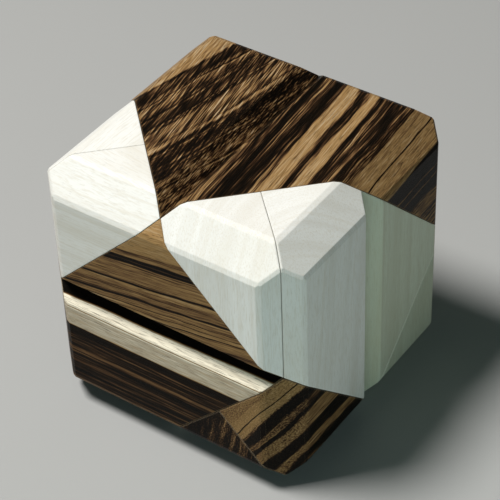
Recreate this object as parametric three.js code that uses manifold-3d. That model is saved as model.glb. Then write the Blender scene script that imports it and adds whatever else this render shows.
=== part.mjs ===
// A wooden puzzle box: a cube with chamfered edges, glued up from blocks of a pale wood and a
// dark striped wood. Six modules, one per face, close round a small inner compartment.
// Twelve slanted joint planes cut the cube apart, and every face has a V-groove along its middle.
// X and Y are the normals of the side faces, Z is up, and the box stands on z = 0.
// Lengths are in millimetres.
import * as THREE from "three";
import { ConvexGeometry } from "three/addons/geometries/ConvexGeometry.js";
import { mergeVertices } from "three/addons/utils/BufferGeometryUtils.js";
import Module from "manifold-3d";

const wasm = await Module();
wasm.setup();

// Outer form
const HALF_SIZE = 40; // centre to each flat face
const CHAMFER = 8.2; // width taken off each face along every edge
// Every joint plane lies where two signed coordinates add up to this length. It passes through the
// middle of the chamfers, so the V-grooves are as deep and half as wide as CHAMFER / 2.
const JOINT_SUM = HALF_SIZE - CHAMFER / 2;
const CHAMFER_SUM = 2 * JOINT_SUM;
// The outer edges are sanded: a narrow facet takes this much off every one of them.
const SANDING = 0.3;
// One direction for each kind of sanded facet: between a face and a chamfer, between two chamfers,
// and on a cube corner. The others are its mirror images.
const SANDED_DIRECTIONS = [
  [1, Math.SQRT2 - 1, 0],
  [2, 1, 1],
  [1, 1, 1],
];

// Inner compartment
const ROOM_HALF = 18; // centre to the inner side of each panel
const PANEL_THICKNESS = 5;

// Clearances, as half of the gap between two pieces
const GLUED = 0.05;
const MOVING = 0.07;
const LAP = -0.05; // a block that runs on into its neighbour, where both are one piece of wood

// Points this close together are one point, and a plane this close to a point passes through it.
const SAME_POINT = 1e-4;
const ON_PLANE = 1e-6;
const PARALLEL = 1e-6; // determinant of three unit normals that meet in no single point

// Guide dowels, one across each edge of the compartment
const DOWEL_RADIUS = 2;
const DOWEL_REACH = 26; // distance of a dowel's middle from the centre, along both faces it joins
const DOWEL_GLUED_DEPTH = 8;
const DOWEL_SLIDING_DEPTH = 14;
const BORE_CLEARANCE = 0.2;
const DOWEL_SIDES = 24;

const WOODS = {
  striped: { color: 0x4a3222, roughness: 0.45, metalness: 0 },
  pale: { color: 0xe6dcc6, roughness: 0.5, metalness: 0 },
  lining: { color: 0xa8784d, roughness: 0.7, metalness: 0 },
  dowel: { color: 0xbd996b, roughness: 0.7, metalness: 0 },
};

// The six modules, each named for its face, with the face's axis (0, 1, 2 for X, Y, Z) and sign.
const FACES = {
  front_left: { axis: 0, sign: -1 },
  back_right: { axis: 0, sign: 1 },
  front_right: { axis: 1, sign: -1 },
  back_left: { axis: 1, sign: 1 },
  bottom: { axis: 2, sign: -1 },
  top: { axis: 2, sign: 1 },
};

// The groove of a face runs along the next axis, and the two halves of the face lie either side of
// it along the remaining one.
const alongGroove = (axis) => (axis + 1) % 3;
const acrossGroove = (axis) => (axis + 2) % 3;

function unit(axis, sign = 1) {
  return new THREE.Vector3().setComponent(axis, sign);
}

// A side of a convex block: the block stays where direction . point is at most limit, less a gap.
function atMost(direction, limit, gap = 0) {
  const length = direction.length();
  return new THREE.Plane(direction.clone().normalize(), gap - limit / length);
}

function atLeast(direction, limit, gap = 0) {
  return atMost(direction.clone().negate(), -limit, gap);
}

// How far the outer form reaches in a direction before it is sanded.
function reach(direction) {
  const [large, middle, small] = direction.toArray().map(Math.abs).sort((a, b) => b - a);
  const faceCorner = HALF_SIZE * large + (HALF_SIZE - CHAMFER) * (middle + small);
  return Math.max(faceCorner, JOINT_SUM * (large + middle + small));
}

// Every direction got from one by swapping its components and changing their signs.
function mirrorImages([a, b, c]) {
  const orders = [
    [a, b, c],
    [b, c, a],
    [c, a, b],
    [a, c, b],
    [c, b, a],
    [b, a, c],
  ];
  const found = new Map();
  for (const [x, y, z] of orders) {
    for (const sx of [-1, 1]) {
      for (const sy of [-1, 1]) {
        for (const sz of [-1, 1]) {
          const image = new THREE.Vector3(sx * x || 0, sy * y || 0, sz * z || 0);
          found.set(image.toArray().join(), image);
        }
      }
    }
  }
  return [...found.values()];
}

const sandedFacets = SANDED_DIRECTIONS.flatMap(mirrorImages).map((direction) =>
  atMost(direction, reach(direction), SANDING),
);

// The flat faces, the chamfers and the sanded facets that every block is cut to.
function outerForm() {
  const planes = [...sandedFacets];
  for (let axis = 0; axis < 3; axis++) {
    for (const sign of [-1, 1]) {
      const outward = unit(axis, sign);
      planes.push(atMost(outward, HALF_SIZE));
      for (const other of [-1, 1]) {
        planes.push(atMost(outward.clone().add(unit((axis + 1) % 3, other)), CHAMFER_SUM));
      }
    }
  }
  return planes;
}

function solidOf(geometry) {
  const bare = new THREE.BufferGeometry();
  bare.setAttribute("position", geometry.getAttribute("position"));
  bare.setIndex(geometry.index);
  const merged = mergeVertices(bare, SAME_POINT);
  return new wasm.Manifold(
    new wasm.Mesh({
      numProp: 3,
      vertProperties: merged.attributes.position.array,
      triVerts: new Uint32Array(merged.index.array),
    }),
  );
}

// The convex block inside all the given planes: its corners are where three planes meet.
function blockInside(planes) {
  const corners = [];
  for (let i = 0; i < planes.length; i++) {
    for (let j = i + 1; j < planes.length; j++) {
      for (let k = j + 1; k < planes.length; k++) {
        const [a, b, c] = [planes[i], planes[j], planes[k]];
        const rows = [...a.normal.toArray(), ...b.normal.toArray(), ...c.normal.toArray()];
        const system = new THREE.Matrix3().set(...rows);
        if (Math.abs(system.determinant()) < PARALLEL) continue;
        const corner = new THREE.Vector3(-a.constant, -b.constant, -c.constant);
        corner.applyMatrix3(system.invert());
        const inside = planes.every((plane) => plane.distanceToPoint(corner) < ON_PLANE);
        const known = corners.some((point) => point.distanceTo(corner) < SAME_POINT);
        if (inside && !known) corners.push(corner);
      }
    }
  }
  return solidOf(new ConvexGeometry(corners));
}

// Which module owns a cube corner, given by its three signs. The near top corner is shared: one
// half goes with each front module.
function ownersOfCorner(signs) {
  return {
    "-1,-1,1": ["front_left", "front_right"],
    "-1,1,1": ["back_left"],
    "1,-1,1": ["top"],
    "1,1,1": ["top"],
    "-1,-1,-1": ["bottom"],
    "-1,1,-1": ["front_left"],
    "1,-1,-1": ["front_right"],
    "1,1,-1": ["back_right"],
  }[signs.join()];
}

// Half of the diamond in the middle of a face, from the panel out to the surface. side is the sign
// along the axis across the groove, and joined is the sign of the corner it is one piece with.
function diamondHalf(faceName, side, joined = 0) {
  const { axis, sign } = FACES[faceName];
  const outward = unit(axis, sign);
  const across = unit(acrossGroove(axis), side);
  const planes = outerForm();
  planes.push(atLeast(outward, ROOM_HALF + PANEL_THICKNESS, GLUED));
  planes.push(atLeast(across, 0, GLUED));
  planes.push(atMost(outward.clone().sub(across), JOINT_SUM));
  planes.push(atLeast(outward.clone().sub(across), 0, MOVING));
  for (const end of [-1, 1]) {
    const along = unit(alongGroove(axis), end);
    planes.push(atLeast(outward.clone().sub(along), 0, MOVING));
    const signs = [0, 0, 0];
    signs[axis] = sign;
    signs[acrossGroove(axis)] = side;
    signs[alongGroove(axis)] = end;
    const sameModule = ownersOfCorner(signs).includes(faceName);
    const gap = end === joined ? LAP : sameModule ? GLUED : MOVING;
    planes.push(atMost(across.clone().add(along), JOINT_SUM, gap));
  }
  return blockInside(planes);
}

// A corner block, down to the corner of the compartment. joinedTo is the face whose diamond half it
// is one piece with. halfTowards cuts it in two along the bisecting plane of two of its faces and
// keeps the half on the first one's side.
function cornerBlock(signs, moduleName, { joinedTo = null, halfTowards = null } = {}) {
  const outwards = signs.map((sign, axis) => unit(axis, sign));
  const planes = outerForm();
  for (const [faceName, face] of Object.entries(FACES)) {
    if (signs[face.axis] !== face.sign) continue;
    const [first, second] = outwards.filter((_, axis) => axis !== face.axis);
    const sameModule = faceName === moduleName;
    const gap = faceName === joinedTo ? 0 : sameModule ? GLUED : MOVING;
    planes.push(atLeast(first.clone().add(second), JOINT_SUM, gap));
    const wall = outwards[face.axis].clone().sub(outwards[acrossGroove(face.axis)]);
    planes.push(atMost(wall, JOINT_SUM));
  }
  if (halfTowards) {
    const [kept, cut] = halfTowards.map((name) => unit(FACES[name].axis, FACES[name].sign));
    const shared = ownersOfCorner(signs).length > 1;
    planes.push(atLeast(kept.sub(cut), 0, shared ? MOVING : GLUED));
  }
  return blockInside(planes);
}

// The panel behind a face, mitred on its four edges and clipped at its corners.
function innerPanel(faceName) {
  const { axis, sign } = FACES[faceName];
  const outward = unit(axis, sign);
  const planes = [
    atLeast(outward, ROOM_HALF),
    atMost(outward, ROOM_HALF + PANEL_THICKNESS, GLUED),
  ];
  for (const first of [-1, 1]) {
    const across = unit(acrossGroove(axis), first);
    const along = unit(alongGroove(axis), first);
    planes.push(atLeast(outward.clone().sub(across), 0, MOVING));
    planes.push(atLeast(outward.clone().sub(along), 0, MOVING));
    for (const second of [-1, 1]) {
      const diagonal = across.clone().add(unit(alongGroove(axis), second));
      planes.push(atMost(diagonal, JOINT_SUM, MOVING));
    }
  }
  return blockInside(planes);
}

// A cylinder along a dowel's line. The dowel is glued into the module of owner and slides in the
// module of other.
function dowelCylinder(owner, other, clearance) {
  const direction = unit(owner.axis, owner.sign).sub(unit(other.axis, other.sign)).normalize();
  const length = DOWEL_GLUED_DEPTH + DOWEL_SLIDING_DEPTH + 2 * clearance;
  const radius = DOWEL_RADIUS + clearance;
  const geometry = new THREE.CylinderGeometry(radius, radius, length, DOWEL_SIDES);
  const middle = new THREE.Vector3();
  middle.setComponent(owner.axis, owner.sign * DOWEL_REACH);
  middle.setComponent(other.axis, other.sign * DOWEL_REACH);
  middle.addScaledVector(direction, (DOWEL_GLUED_DEPTH - DOWEL_SLIDING_DEPTH) / 2);
  geometry.applyQuaternion(new THREE.Quaternion().setFromUnitVectors(unit(1), direction));
  geometry.translate(...middle.toArray());
  return solidOf(geometry);
}

// Each module owns the two dowels that lie under the ends of its groove, where its face meets the
// two faces along the groove's axis.
const dowels = [];
for (const [ownerName, owner] of Object.entries(FACES)) {
  for (const [otherName, other] of Object.entries(FACES)) {
    if (other.axis === alongGroove(owner.axis)) dowels.push({ ownerName, owner, otherName, other });
  }
}

const bores = dowels.map(({ owner, other }) => dowelCylinder(owner, other, BORE_CLEARANCE));

function drilled(solid) {
  return bores.reduce((rest, bore) => rest.subtract(bore), solid);
}

// The whole box stands on z = 0, and each module is a group of its own inside it.
const puzzleBox = new THREE.Group();
puzzleBox.name = "wooden_puzzle_box";
const modules = {};
for (const faceName of Object.keys(FACES)) {
  modules[faceName] = new THREE.Group();
  modules[faceName].name = faceName + "_module";
  modules[faceName].position.z = HALF_SIZE;
  puzzleBox.add(modules[faceName]);
}

// A piece's name starts with its module's name.
function addPiece(faceName, nameInModule, wood, solid) {
  const { vertProperties, triVerts } = solid.getMesh();
  const geometry = new THREE.BufferGeometry();
  geometry.setAttribute("position", new THREE.BufferAttribute(vertProperties, 3));
  geometry.setIndex(new THREE.BufferAttribute(triVerts, 1));
  const faceted = geometry.toNonIndexed();
  faceted.computeVertexNormals();
  const mesh = new THREE.Mesh(faceted, new THREE.MeshStandardMaterial(WOODS[wood]));
  mesh.name = faceName + "_" + nameInModule;
  modules[faceName].add(mesh);
}

// Top: two striped pieces, each a diamond half that is one with the corner to its right.
const rightTop = cornerBlock([1, -1, 1], "top", { joinedTo: "top" });
const backTop = cornerBlock([1, 1, 1], "top", { joinedTo: "top" });
addPiece("top", "striped_near", "striped", drilled(diamondHalf("top", -1, 1)).add(rightTop));
addPiece("top", "striped_far", "striped", drilled(diamondHalf("top", 1, 1)).add(backTop));

// Front left: a striped upper wedge, a striped lower piece that runs into the left bottom corner,
// and a pale half of the near top corner.
const leftBottom = cornerBlock([-1, 1, -1], "front_left", { joinedTo: "front_left" });
const lowerLeft = drilled(diamondHalf("front_left", -1, 1)).add(leftBottom);
const nearTopLeft = cornerBlock([-1, -1, 1], "front_left", {
  halfTowards: ["front_left", "front_right"],
});
addPiece("front_left", "striped_upper", "striped", drilled(diamondHalf("front_left", 1)));
addPiece("front_left", "striped_lower", "striped", lowerLeft);
addPiece("front_left", "pale_corner", "pale", nearTopLeft);

// Front right: a pale piece that runs into the other half of the near top corner, a second pale
// piece, and a pale bottom corner.
const nearTopRight = cornerBlock([-1, -1, 1], "front_right", {
  joinedTo: "front_right",
  halfTowards: ["front_right", "front_left"],
});
const leftOfGroove = drilled(diamondHalf("front_right", -1, 1)).add(nearTopRight);
addPiece("front_right", "pale_left", "pale", leftOfGroove);
addPiece("front_right", "pale_right", "pale", drilled(diamondHalf("front_right", 1)));
addPiece("front_right", "pale_low_corner", "pale", cornerBlock([1, -1, -1], "front_right"));

// Back left: two striped pieces, and a pale top corner made of two halves.
const leftTopNear = cornerBlock([-1, 1, 1], "back_left", {
  halfTowards: ["front_left", "back_left"],
});
const leftTopFar = cornerBlock([-1, 1, 1], "back_left", {
  halfTowards: ["back_left", "front_left"],
});
addPiece("back_left", "striped_left", "striped", drilled(diamondHalf("back_left", -1)));
addPiece("back_left", "striped_right", "striped", drilled(diamondHalf("back_left", 1)));
addPiece("back_left", "pale_corner_near", "pale", leftTopNear);
addPiece("back_left", "pale_corner_far", "pale", leftTopFar);

// Back right: two pale pieces and a pale bottom corner.
addPiece("back_right", "pale_upper", "pale", drilled(diamondHalf("back_right", 1)));
addPiece("back_right", "pale_lower", "pale", drilled(diamondHalf("back_right", -1)));
addPiece("back_right", "pale_low_corner", "pale", cornerBlock([1, 1, -1], "back_right"));

// Bottom: two pale pieces, and a striped near corner made of two halves.
const nearBottomUnder = cornerBlock([-1, -1, -1], "bottom", {
  halfTowards: ["bottom", "front_right"],
});
const nearBottomSide = cornerBlock([-1, -1, -1], "bottom", {
  halfTowards: ["front_right", "bottom"],
});
addPiece("bottom", "pale_near", "pale", drilled(diamondHalf("bottom", -1)));
addPiece("bottom", "pale_far", "pale", drilled(diamondHalf("bottom", 1)));
addPiece("bottom", "striped_corner_under", "striped", nearBottomUnder);
addPiece("bottom", "striped_corner_side", "striped", nearBottomSide);

for (const faceName of Object.keys(FACES)) {
  addPiece(faceName, "inner_panel", "lining", innerPanel(faceName));
}

for (const { ownerName, owner, otherName, other } of dowels) {
  addPiece(ownerName, "dowel_to_" + otherName, "dowel", dowelCylinder(owner, other, 0));
}

export default puzzleBox;
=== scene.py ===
"""The looks of the wooden puzzle box: two woods, a plain pale floor, soft light, and the camera."""

import bpy
from mathutils import Matrix, Vector


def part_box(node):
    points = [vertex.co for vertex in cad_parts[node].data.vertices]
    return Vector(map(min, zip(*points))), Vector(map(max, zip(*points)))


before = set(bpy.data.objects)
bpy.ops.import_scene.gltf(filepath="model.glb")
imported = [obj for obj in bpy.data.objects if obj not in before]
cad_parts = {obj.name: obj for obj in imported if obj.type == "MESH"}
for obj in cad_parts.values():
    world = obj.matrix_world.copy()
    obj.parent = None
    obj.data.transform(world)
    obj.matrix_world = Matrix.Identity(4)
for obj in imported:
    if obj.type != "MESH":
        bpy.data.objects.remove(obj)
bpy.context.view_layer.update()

MM = 0.001
CENTRE = Vector((0, 0, 40))  # middle of the cube, in millimetres
X, Y, Z = Vector((1, 0, 0)), Vector((0, 1, 0)), Vector((0, 0, 1))

# Edges lightened by wear and by painted highlight: their colour, its share, and how far they reach
# in millimetres
PALE_EDGE_WEAR_AND_HIGHLIGHT = ((0.90, 0.88, 0.78), 0.5, 0.4)
# Painted highlight only: the light that the low right corner's rounded edge catches at its seam
SEAM_PAINTED_HIGHLIGHT = ((1.0, 1.0, 0.86), 1.0, 1.7)
DARK_EDGE_WEAR_AND_HIGHLIGHT = ((0.42, 0.28, 0.15), 0.5, 0.4)
# Painted highlight only: the light that the bottom corner blocks' rounded edges catch
DARK_EDGE_PAINTED_HIGHLIGHT = ((0.55, 0.41, 0.27), 0.55, 0.6)
# An edge is lightened where the softened normal turns away from the true one: the cosines of the
# turn at which the lightening starts and at which it is full
EDGE_LIGHTENING_STARTS, EDGE_LIGHTENING_FULL = 0.975, 0.88

WOOD_IOR = 1.48
BUMP_STRENGTH = 0.8
STRIPED_BUMP_MM, STRIPED_GLOSS = 0.06, 0.05
PALE_BUMP_MM, PALE_GLOSS = 0.05, 0.3

# How far the heart of the tree was from the block, in millimetres: the greater, the flatter rings
STRIPED_HEART, PALE_HEART = 1000, 70

# The colours of the striped wood by how light its layers are
STRIPED_COLOURS = (
    (0.22, (0.004, 0.003, 0.002)),
    (0.40, (0.014, 0.008, 0.004)),
    (0.50, (0.050, 0.024, 0.011)),
    (0.62, (0.160, 0.086, 0.037)),
    (0.78, (0.330, 0.198, 0.078)),
    (0.87, (0.430, 0.300, 0.165)),
    (0.93, (0.470, 0.400, 0.295)),
    # The stops above 0.93 are reached only by the lower left block; the near white one serves the
    # painted highlight on its groove wall.
    (1.00, (0.860, 0.780, 0.620)),
)
PORE_COLOUR = (0.010, 0.005, 0.003)
STRIPED_LEVEL = 0.43  # how light the striped wood is on average
BAND_SHARE = 0.85  # how much of a broad band's lightness the layers take on

# How large each feature of the woods is, in millimetres: along the grain, through the growth
# layers, and along the layers
STRIPED_SWAY, STRIPED_QUIVER = (34, 12, 16), (9, 3.5, 5)
BROAD_LAYERS, MIDDLE_LAYERS, FINE_LAYERS = (240, 3.4, 80), (90, 0.95, 30), (22, 0.34, 4)
STREAKS, PORES = (7, 0.3, 0.4), (4.0, 0.17, 0.17)
PALE_SWAY, GROWTH_LAYERS, LATE_WOOD = (70, 20, 26), (300, 2.6, 110), (180, 0.9, 60)
FIBRES, FLECKS, STAINS = (4.5, 0.34, 0.34), (1.6, 0.2, 0.4), (45, 14, 20)

PALE_HUE = (0.83, 0.825, 0.785)
LINING_HUE = (0.42, 0.25, 0.13)
DOWEL_HUE = (0.58, 0.42, 0.25)


class Graph:
    """A node tree with short calls for the nodes that the woods are made of."""

    def __init__(self, tree):
        self.tree = tree

    def node(self, kind, **settings):
        made = self.tree.nodes.new(kind)
        for name, value in settings.items():
            setattr(made, name, value)
        return made

    def feed(self, socket, value):
        if isinstance(value, bpy.types.NodeSocket):
            self.tree.links.new(value, socket)
        else:
            socket.default_value = value

    def math(self, operation, a, b=0.0):
        made = self.node("ShaderNodeMath", operation=operation)
        self.feed(made.inputs[0], a)
        self.feed(made.inputs[1], b)
        return made.outputs[0]

    def add(self, a, b):
        return self.math("ADD", a, b)

    def times(self, a, b):
        return self.math("MULTIPLY", a, b)

    def vector_math(self, operation, a, b=(0, 0, 0)):
        made = self.node("ShaderNodeVectorMath", operation=operation)
        self.feed(made.inputs[0], a)
        self.feed(made.inputs[1], b)
        return made.outputs["Value" if operation == "DOT_PRODUCT" else "Vector"]

    def combine(self, x, y, z):
        made = self.node("ShaderNodeCombineXYZ")
        for socket, value in zip(made.inputs, (x, y, z)):
            self.feed(socket, value)
        return made.outputs[0]

    def noise(self, vector, detail=2.0, roughness=0.5):
        made = self.node("ShaderNodeTexNoise")
        self.feed(made.inputs["Vector"], vector)
        made.inputs["Scale"].default_value = 1.0
        made.inputs["Detail"].default_value = detail
        made.inputs["Roughness"].default_value = roughness
        return made.outputs["Fac"]

    def ramp(self, factor, stops):
        made = self.node("ShaderNodeValToRGB")
        ramp = made.color_ramp
        while len(ramp.elements) < len(stops):
            ramp.elements.new(0.5)
        for element, (place, colour) in zip(ramp.elements, stops):
            element.position = place
            element.color = (*colour, 1)
        self.feed(made.inputs[0], factor)
        return made.outputs["Color"]

    def step(self, value, low, high, to_low=0.0, to_high=1.0):
        """A smooth step of value from to_low at low to to_high at high."""
        made = self.node("ShaderNodeMapRange", interpolation_type="SMOOTHSTEP")
        for socket, number in zip(made.inputs, (value, low, high, to_low, to_high)):
            self.feed(socket, number)
        return made.outputs[0]

    def mix(self, factor, a, b):
        made = self.node("ShaderNodeMix", data_type="RGBA")
        self.feed(made.inputs[0], factor)
        for socket, value in ((made.inputs[6], a), (made.inputs[7], b)):
            self.feed(socket, (*value, 1) if isinstance(value, tuple) else value)
        return made.outputs[2]


def wood_axes(graph, grain, layers, shift, heart):
    """Coordinates in the block's own timber, in millimetres: along the grain, through the growth
    layers, and along the layers. heart is how far away the heart of the tree was."""
    grain = grain.normalized()
    through = (layers - grain * layers.dot(grain)).normalized()
    side = grain.cross(through)
    place = graph.node("ShaderNodeTexCoord").outputs["Object"]
    place = graph.vector_math("SCALE", place)
    place.node.inputs["Scale"].default_value = 1 / MM
    place = graph.vector_math("SUBTRACT", place, tuple(CENTRE))
    along, across, sideways = (
        graph.add(graph.vector_math("DOT_PRODUCT", place, tuple(axis)), offset)
        for axis, offset in zip((grain, through, side), shift)
    )
    reach = graph.add(across, heart)
    squared = graph.add(graph.times(reach, reach), graph.times(sideways, sideways))
    rings = graph.add(graph.math("SQRT", squared), -heart)
    return along, rings, sideways


def stretched(graph, axes, sizes):
    """The timber coordinates, divided by the size that a feature has along each of them."""
    return graph.combine(*(graph.times(axis, 1 / size) for axis, size in zip(axes, sizes)))


def centred(graph, value):
    return graph.add(value, -0.5)


def finish_material(graph, colour, roughness, height, bump_mm, edge, gloss):
    """Joins the colour, roughness and height to the shader, with softened edges lightened by wear
    and by painted highlight. edge is the colour of the lightening, its share, and its reach in
    millimetres."""
    edge_colour, edge_share, edge_mm = edge
    soft = graph.node("ShaderNodeBevel", samples=6)
    soft.inputs["Radius"].default_value = edge_mm * MM
    sharp = graph.node("ShaderNodeNewGeometry").outputs["Normal"]
    turn = graph.vector_math("DOT_PRODUCT", soft.outputs["Normal"], sharp)
    edge_lightening = graph.step(turn, EDGE_LIGHTENING_STARTS, EDGE_LIGHTENING_FULL)
    colour = graph.mix(graph.times(edge_lightening, edge_share), colour, edge_colour)
    bump = graph.node("ShaderNodeBump")
    bump.inputs["Strength"].default_value = BUMP_STRENGTH
    bump.inputs["Distance"].default_value = bump_mm * MM
    graph.feed(bump.inputs["Height"], height)
    graph.feed(bump.inputs["Normal"], soft.outputs["Normal"])
    shader = graph.node("ShaderNodeBsdfPrincipled")
    graph.feed(shader.inputs["Base Color"], colour)
    graph.feed(shader.inputs["Roughness"], roughness)
    graph.feed(shader.inputs["Normal"], bump.outputs[0])
    shader.inputs["IOR"].default_value = WOOD_IOR
    shader.inputs["Specular IOR Level"].default_value = gloss
    output = graph.node("ShaderNodeOutputMaterial")
    graph.feed(output.inputs["Surface"], shader.outputs[0])


def new_graph(name):
    material = bpy.data.materials.new(name)
    material.use_nodes = True
    material.node_tree.nodes.clear()
    return material, Graph(material.node_tree)


def striped_wood(
    name,
    grain,
    layers,
    shift,
    fibres=None,
    tone=0.0,
    contrast=1.0,
    fineness=1.0,
    waviness=1.0,
    dashes=1.0,
    lightest=0.88,
    edge=DARK_EDGE_WEAR_AND_HIGHLIGHT,
    bands=(),
):
    """A dark hardwood whose layers run from black-brown to gold, with short streaks and pores.
    fibres is the direction of those streaks, where it isn't the grain's. tone is how light the wood
    is, contrast how much its layers differ, fineness how many of them there are, waviness how much
    they bend, dashes how strong the streaks are, and lightest the lightest that the wood gets. edge
    is the lightening of its edges, by wear and by painted highlight. bands are its broad layers,
    and on the lower left block also a painted highlight and a painted shade: how far each lies from
    the middle of the cube and its half width, both in millimetres, and how light it is."""
    material, graph = new_graph(name)
    unshifted = wood_axes(graph, grain, layers, (0, 0, 0), STRIPED_HEART)
    raw = tuple(graph.add(axis, offset) for axis, offset in zip(unshifted, shift))
    sway = graph.noise(stretched(graph, raw, STRIPED_SWAY), 1)
    quiver = graph.noise(stretched(graph, raw, STRIPED_QUIVER), 1)
    bend = graph.add(
        graph.times(centred(graph, sway), 3.2), graph.times(centred(graph, quiver), 0.7)
    )
    bend = graph.times(bend, waviness / fineness)
    bent = graph.add(unshifted[1], bend)
    axes = (raw[0], graph.times(graph.add(raw[1], bend), fineness), raw[2])
    broad = graph.noise(stretched(graph, axes, BROAD_LAYERS), 1)
    middle = graph.noise(stretched(graph, axes, MIDDLE_LAYERS), 2, 0.6)
    fine = graph.noise(stretched(graph, axes, FINE_LAYERS), 2, 0.6)
    threads = wood_axes(graph, fibres or grain, layers, shift, STRIPED_HEART)
    streak = graph.noise(stretched(graph, threads, STREAKS), 1.5, 0.5)
    level = graph.times(centred(graph, broad), 0.9 * contrast)
    level = graph.add(level, graph.times(centred(graph, middle), 1.2 * contrast))
    level = graph.add(level, graph.times(centred(graph, fine), 1.15 * contrast))
    level = graph.add(level, STRIPED_LEVEL + tone)
    for place, half_width, lightness in bands:
        distance = graph.math("ABSOLUTE", graph.add(bent, -place))
        soft = min(0.35 * half_width, 0.3)
        inside = graph.step(distance, half_width + soft, half_width - soft, 0.0, BAND_SHARE)
        change = graph.math("SUBTRACT", lightness, level)
        level = graph.add(level, graph.times(inside, change))
    strength = graph.step(level, 0.6, 0.78, 1.1 * dashes, 0.5 * dashes)
    level = graph.add(level, graph.times(centred(graph, streak), strength))
    level = graph.math("MINIMUM", level, lightest)
    colour = graph.ramp(level, STRIPED_COLOURS)
    pore_noise = graph.noise(stretched(graph, threads, PORES), 1)
    pores = graph.step(pore_noise, 0.58, 0.68)
    colour = graph.mix(graph.times(pores, 0.5), colour, PORE_COLOUR)
    roughness = graph.step(level, 0.3, 0.9, 0.36, 0.5)
    roughness = graph.add(roughness, graph.times(pores, 0.25))
    height = graph.add(graph.times(fine, 0.35), graph.times(pores, -1.0))
    finish_material(graph, colour, roughness, height, STRIPED_BUMP_MM, edge, STRIPED_GLOSS)
    return material


def pale_wood(name, grain, layers, shift, hue=PALE_HUE, lines=1.0, edge=PALE_EDGE_WEAR_AND_HIGHLIGHT):
    """A white close-grained hardwood with faint growth lines, fine fibres and small flecks. hue is
    its colour, lines how strong the growth lines are, and edge the lightening of its edges, by wear
    and by painted highlight."""
    material, graph = new_graph(name)
    along, rings, sideways = wood_axes(graph, grain, layers, shift, PALE_HEART)
    raw = (along, rings, sideways)
    sway = graph.noise(stretched(graph, raw, PALE_SWAY), 1)
    bent = graph.add(rings, graph.times(centred(graph, sway), 4.0))
    axes = (along, bent, sideways)
    growth = graph.noise(stretched(graph, axes, GROWTH_LAYERS), 1)
    line_noise = graph.noise(stretched(graph, axes, LATE_WOOD), 1)
    late = graph.step(line_noise, 0.52, 0.72)
    fibre = graph.noise(stretched(graph, raw, FIBRES), 2, 0.6)
    flecks = graph.step(graph.noise(stretched(graph, raw, FLECKS), 1), 0.62, 0.72)
    stain = graph.noise(stretched(graph, raw, STAINS), 2)
    light = tuple(min(1.0, 1.04 * part) for part in hue)
    dark = (0.84 * hue[0], 0.79 * hue[1], 0.70 * hue[2])
    colour = graph.mix(graph.step(growth, 0.35, 0.65), light, hue)
    colour = graph.mix(graph.step(growth, 0.45, 0.7, 0.0, 0.4 * lines), colour, dark)
    colour = graph.mix(graph.times(late, 0.6 * lines), colour, dark)
    colour = graph.mix(graph.step(fibre, 0.45, 0.7, 0.0, 0.5), colour, dark)
    colour = graph.mix(graph.times(flecks, 0.25), colour, tuple(0.7 * part for part in hue))
    colour = graph.mix(graph.step(stain, 0.4, 0.75, 0.0, 0.3), colour, dark)
    roughness = graph.add(graph.times(fibre, 0.2), 0.45)
    height = graph.add(graph.times(fibre, 0.8), graph.times(flecks, -0.5))
    height = graph.add(height, graph.times(late, 0.2))
    finish_material(graph, colour, roughness, height, PALE_BUMP_MM, edge, PALE_GLOSS)
    return material


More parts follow.
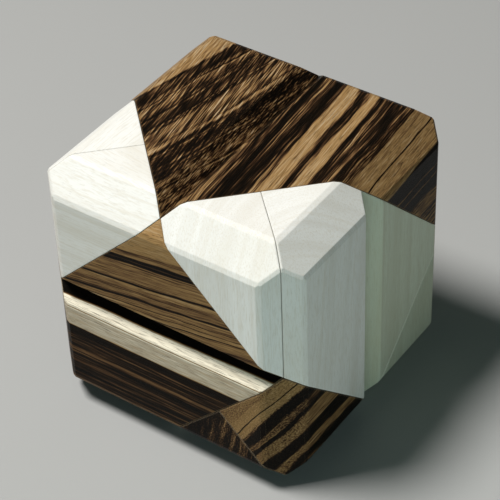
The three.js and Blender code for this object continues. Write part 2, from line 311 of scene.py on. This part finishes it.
# Each striped block's timber: the direction of its grain, the direction through its growth layers,
# a shift that gives it a piece of wood of its own, and what else sets it apart.
STRIPED = {
    "top_striped_far": dict(
        grain=Vector((0.98, -0.21, 0)),
        layers=Vector((0.21, 0.98, 1)),
        fibres=Vector((0.985, 0.174, 0)),
        shift=(0, 3, 0),
        tone=-0.03,
        contrast=0.8,
        fineness=1.4,
        dashes=1.5,
        bands=(
            (27.4, 0.35, 0.60),
            (37.9, 1.7, 0.62),
            (42.0, 0.9, 0.38),
            (44.8, 0.6, 0.58),
            (48.4, 1.2, 0.34),
            (57.0, 7.0, 0.82),
        ),
    ),
    "top_striped_near": dict(
        grain=Vector((1, 0.10, 0)),
        layers=Vector((-0.10, 0.8, 0.6)),
        shift=(50, 31, 9),
        tone=-0.02,
        dashes=0.8,
        bands=(
            (10.8, 1.6, 0.84),
            (8.4, 0.4, 0.28),
            (6.4, 1.1, 0.84),
            (-8.8, 6.0, 0.80),
            (-8.1, 0.22, 0.30),
            (-17.8, 4.2, 0.16),
            (-17.3, 0.2, 0.60),
            (-19.2, 0.2, 0.60),
            (-24.0, 1.2, 0.66),
        ),
    ),
    "front_left_striped_upper": dict(
        grain=Vector((0, 1, -0.13)),
        layers=Vector((0, 0.13, 1)),
        shift=(11, 17, 4),
        tone=0.24,
        contrast=0.45,
        dashes=0.5,
        bands=(
            (31.0, 5.0, 0.80),
            (22.4, 1.1, 0.42),
            (23.0, 0.4, 0.10),
            (21.8, 0.35, 0.10),
            (15.5, 0.32, 0.22),
            (10.3, 0.35, 0.25),
            (8.2, 0.14, 0.35),
            (6.8, 0.12, 0.35),
            (5.4, 0.16, 0.30),
        ),
    ),
    "front_left_striped_lower": dict(
        grain=Vector((0, 1, -0.01)),
        layers=Vector((-0.2, 0.01, 1)),
        shift=(80, -14, 30),
        tone=-0.09,
        contrast=0.8,
        waviness=0.18,
        dashes=0.3,
        # lightest and the first band make the part of the groove wall that the key light reaches
        # near white, lighter than the same cream in shade below it: painted highlight.
        lightest=1.0,
        bands=(
            (2.0, 4.2, 1.14),
            (0.7, 2.9, 0.91),
            (4.1, 0.16, 0.66),
            # This black layer lies where the upper block's rim shadows the groove wall: painted
            # shade.
            (8.2, 2.0, 0.05),
            (-4.0, 1.1, 0.25),
            (-10.4, 0.6, 0.62),
            (-14.8, 0.4, 0.54),
            (-22.2, 0.7, 0.64),
        ),
    ),
    "bottom_striped_corner_side": dict(
        grain=X,
        layers=Vector((0, 1.4, 1)),
        shift=(25, 44, 10),
        tone=-0.04,
        contrast=0.7,
        dashes=0.8,
        edge=DARK_EDGE_PAINTED_HIGHLIGHT,
        bands=(
            (-27.0, 2.4, 0.70),
            (-31.9, 2.6, 0.80),
            (-32.5, 0.16, 0.2),
            (-36.3, 1.0, 0.22),
            (-38.6, 0.5, 0.58),
            (-40.0, 0.5, 0.22),
            (-42.2, 1.5, 0.70),
            (-45.4, 1.3, 0.22),
            (-47.9, 0.9, 0.70),
            (-49.7, 0.6, 0.22),
        ),
    ),
    "bottom_striped_corner_under": dict(
        grain=X,
        layers=Vector((0, 1, 0.2)),
        shift=(5, 63, 50),
        tone=-0.10,
        contrast=0.7,
        edge=DARK_EDGE_PAINTED_HIGHLIGHT,
    ),
    "back_left_striped_left": dict(
        grain=Z, layers=Vector((1, 0.3, 0)), shift=(33, 75, 12), bands=((-6.0, 1.4, 0.8),)
    ),
    "back_left_striped_right": dict(
        grain=Z, layers=Vector((1, -0.3, 0)), shift=(70, 92, 21), bands=((12.0, 2.2, 0.8),)
    ),
}
# The same for the pale blocks, with how strong the growth lines are.
PALE = {
    "back_left_pale_corner_near": (Vector((0.1, 1, 0)), Vector((0.6, 0, 1)), (0, 5, 0), 0.9),
    "back_left_pale_corner_far": (X, Vector((0, 0.4, 1)), (20, 25, 7), 0.4),
    "front_left_pale_corner": (Z, Vector((0.3, 1, 0)), (40, 12, 3), 0.35),
    "front_right_pale_left": (Vector((0.03, 0.06, 1)), Vector((0.5, 1, 0)), (60, 35, -9), 0.5),
    "front_right_pale_right": (Z, Vector((1, 0.3, 0)), (15, 55, 14), 0.7),
    "front_right_pale_low_corner": (Z, Vector((1, 0.6, 0)), (75, 71, 30), 0.5),
    "back_right_pale_upper": (Y, Vector((0.3, 0, 1)), (9, 83, 22), 0.8),
    "back_right_pale_lower": (Y, Vector((-0.3, 0, 1)), (31, 94, 6), 0.8),
    "back_right_pale_low_corner": (Y, Vector((0.5, 0, 1)), (52, 101, 17), 0.8),
    "bottom_pale_near": (X, Vector((0, 1, 0.4)), (44, 115, 28), 0.8),
    "bottom_pale_far": (X, Vector((0, 1, -0.4)), (66, 128, 33), 0.8),
}
# Two pale blocks get a darker and greener hue: painted shade for the light that falls off to the
# right.
PALE_HUES_WITH_PAINTED_SHADE = {
    "front_right_pale_right": (0.63, 0.67, 0.54),
    "front_right_pale_low_corner": (0.53, 0.575, 0.45),
}

for name, timber in STRIPED.items():
    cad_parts[name].data.materials[0] = striped_wood(name, **timber)
for name, (grain, layers, shift, lines) in PALE.items():
    # A painted highlight lights up this block's rounded edge where it meets its neighbour.
    edge = SEAM_PAINTED_HIGHLIGHT if name == "front_right_pale_low_corner" else PALE_EDGE_WEAR_AND_HIGHLIGHT
    hue = PALE_HUES_WITH_PAINTED_SHADE.get(name, PALE_HUE)
    wood = pale_wood(name, grain, layers, shift, hue, lines, edge)
    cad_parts[name].data.materials[0] = wood

# The grain of a panel runs along it, and a dowel's slants across the edge where the dowel sits. A
# dowel's box is thinnest along that edge.
for name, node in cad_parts.items():
    low, high = (Vector(corner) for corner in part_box(name))
    size = high - low
    thin = min(range(3), key=lambda axis: size[axis])
    if name.endswith("inner_panel"):
        grain, layers = Vector(), Vector()
        grain[(thin + 1) % 3] = 1
        layers[(thin + 2) % 3] = 1
        wood = pale_wood(name, grain, layers, (7 * thin, 13 * thin, 5), LINING_HUE)
        node.data.materials[0] = wood
    elif "_dowel_to_" in name:
        grain, layers = Vector((1, 1, 1)), Vector()
        grain[thin] = 0
        grain[(thin + 1) % 3] *= -1
        layers[thin] = 1
        wood = pale_wood(name, grain, layers, (3, 1, 2), DOWEL_HUE)
        node.data.materials[0] = wood


WELD_MM = 0.001
FLAT_ANGLE = 0.01  # radians: faces that meet at less are one flat face
EDGE_ANGLE = 0.5  # radians: faces that meet at more have an edge between them


def ease_edges(node, width_mm):
    """Takes the knife edge off a block's arrises, as sanding does."""
    weld = node.modifiers.new("weld", "WELD")
    weld.merge_threshold = WELD_MM * MM
    flats = node.modifiers.new("flats", "DECIMATE")
    flats.decimate_type = "DISSOLVE"
    flats.angle_limit = FLAT_ANGLE
    bevel = node.modifiers.new("bevel", "BEVEL")
    bevel.width = width_mm * MM
    bevel.segments = 2
    bevel.limit_method = "ANGLE"
    bevel.angle_limit = EDGE_ANGLE
    bevel.use_clamp_overlap = True


# How much the edges are eased, in millimetres. These blocks had a little more off by hand.
EASED = 0.1
EASED_MORE = {
    "front_right_pale_low_corner": 0.3,
    "bottom_striped_corner_under": 0.25,
    "bottom_striped_corner_side": 0.25,
}
for name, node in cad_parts.items():
    ease_edges(node, EASED_MORE.get(name, EASED))


FLOOR_COLOUR = (0.42, 0.42, 0.41)
FLOOR_ROUGHNESS = 0.8
FLOOR_HALF_SIDE = 4.0  # metres
CLOUDS_PER_METRE = 6
CLOUD_SHADE = 0.96


def floor_material():
    material, graph = new_graph("floor")
    shader = graph.node("ShaderNodeBsdfPrincipled")
    place = graph.node("ShaderNodeTexCoord").outputs["Object"]
    cloud = graph.node("ShaderNodeTexNoise")
    graph.feed(cloud.inputs["Vector"], place)
    cloud.inputs["Scale"].default_value = CLOUDS_PER_METRE
    darker = tuple(CLOUD_SHADE * part for part in FLOOR_COLOUR)
    graph.feed(shader.inputs["Base Color"], graph.mix(cloud.outputs["Fac"], FLOOR_COLOUR, darker))
    shader.inputs["Roughness"].default_value = FLOOR_ROUGHNESS
    output = graph.node("ShaderNodeOutputMaterial")
    graph.feed(output.inputs["Surface"], shader.outputs[0])
    return material


floor_mesh = bpy.data.meshes.new("floor")
floor_corners = [
    (x * FLOOR_HALF_SIDE, y * FLOOR_HALF_SIDE, 0) for x, y in ((-1, -1), (1, -1), (1, 1), (-1, 1))
]
floor_mesh.from_pydata(floor_corners, [], [(0, 1, 2, 3)])
floor = bpy.data.objects.new("floor", floor_mesh)
bpy.context.collection.objects.link(floor)
floor.data.materials.append(floor_material())


def area_light(name, direction, distance, size, watts, colour):
    """A round lamp that shines on the box. direction is where it hangs, seen from the box."""
    light = bpy.data.lights.new(name, "AREA")
    light.shape = "DISK"
    light.size = size
    light.energy = watts
    light.color = colour
    holder = bpy.data.objects.new(name, light)
    holder.location = CENTRE * MM + direction.normalized() * distance
    holder.rotation_euler = (-direction).to_track_quat("-Z", "Y").to_euler()
    bpy.context.collection.objects.link(holder)


# The key light hangs high and to the camera's left. A weak lamp low on the camera's side and a
# weak sky, both a little green as in the photo, light the side faces and the shadows.
area_light("key", Vector((-0.25, 0.35, 1)), 1.2, 0.36, 17.5, (1.0, 0.99, 0.97))
area_light("fill", Vector((-1, -0.85, 0.05)), 0.25, 0.2, 0.13, (0.70, 1.0, 0.98))

SKY_COLOUR = (0.75, 1.0, 0.92, 1)
SKY_STRENGTH = 0.04
world = bpy.data.worlds.new("world")
world.use_nodes = True
background = world.node_tree.nodes["Background"]
background.inputs["Color"].default_value = SKY_COLOUR
background.inputs["Strength"].default_value = SKY_STRENGTH
bpy.context.scene.world = world

# The camera looks down on the near top corner, slightly rolled, through a long lens.
CAMERA_PLACE = Vector((-0.3200, -0.2351, 0.3779))
FORWARD = Vector((0.61432, 0.44984, -0.64827)).normalized()
RIGHT = Vector((0.56898, -0.82176, -0.03105))
RIGHT = (RIGHT - FORWARD * RIGHT.dot(FORWARD)).normalized()
UP = RIGHT.cross(FORWARD)
SENSOR_MM, LENS_MM = 36, 138.8
CLIP_START = 0.01  # metres
camera_data = bpy.data.cameras.new("camera")
camera_data.sensor_width = SENSOR_MM
camera_data.lens = LENS_MM
camera_data.clip_start = CLIP_START
camera = bpy.data.objects.new("camera", camera_data)
turned = Matrix((RIGHT, UP, -FORWARD)).transposed().to_4x4()
camera.matrix_world = Matrix.Translation(CAMERA_PLACE) @ turned
bpy.context.collection.objects.link(camera)
bpy.context.scene.camera = camera

bpy.context.scene.view_settings.view_transform = "Standard"
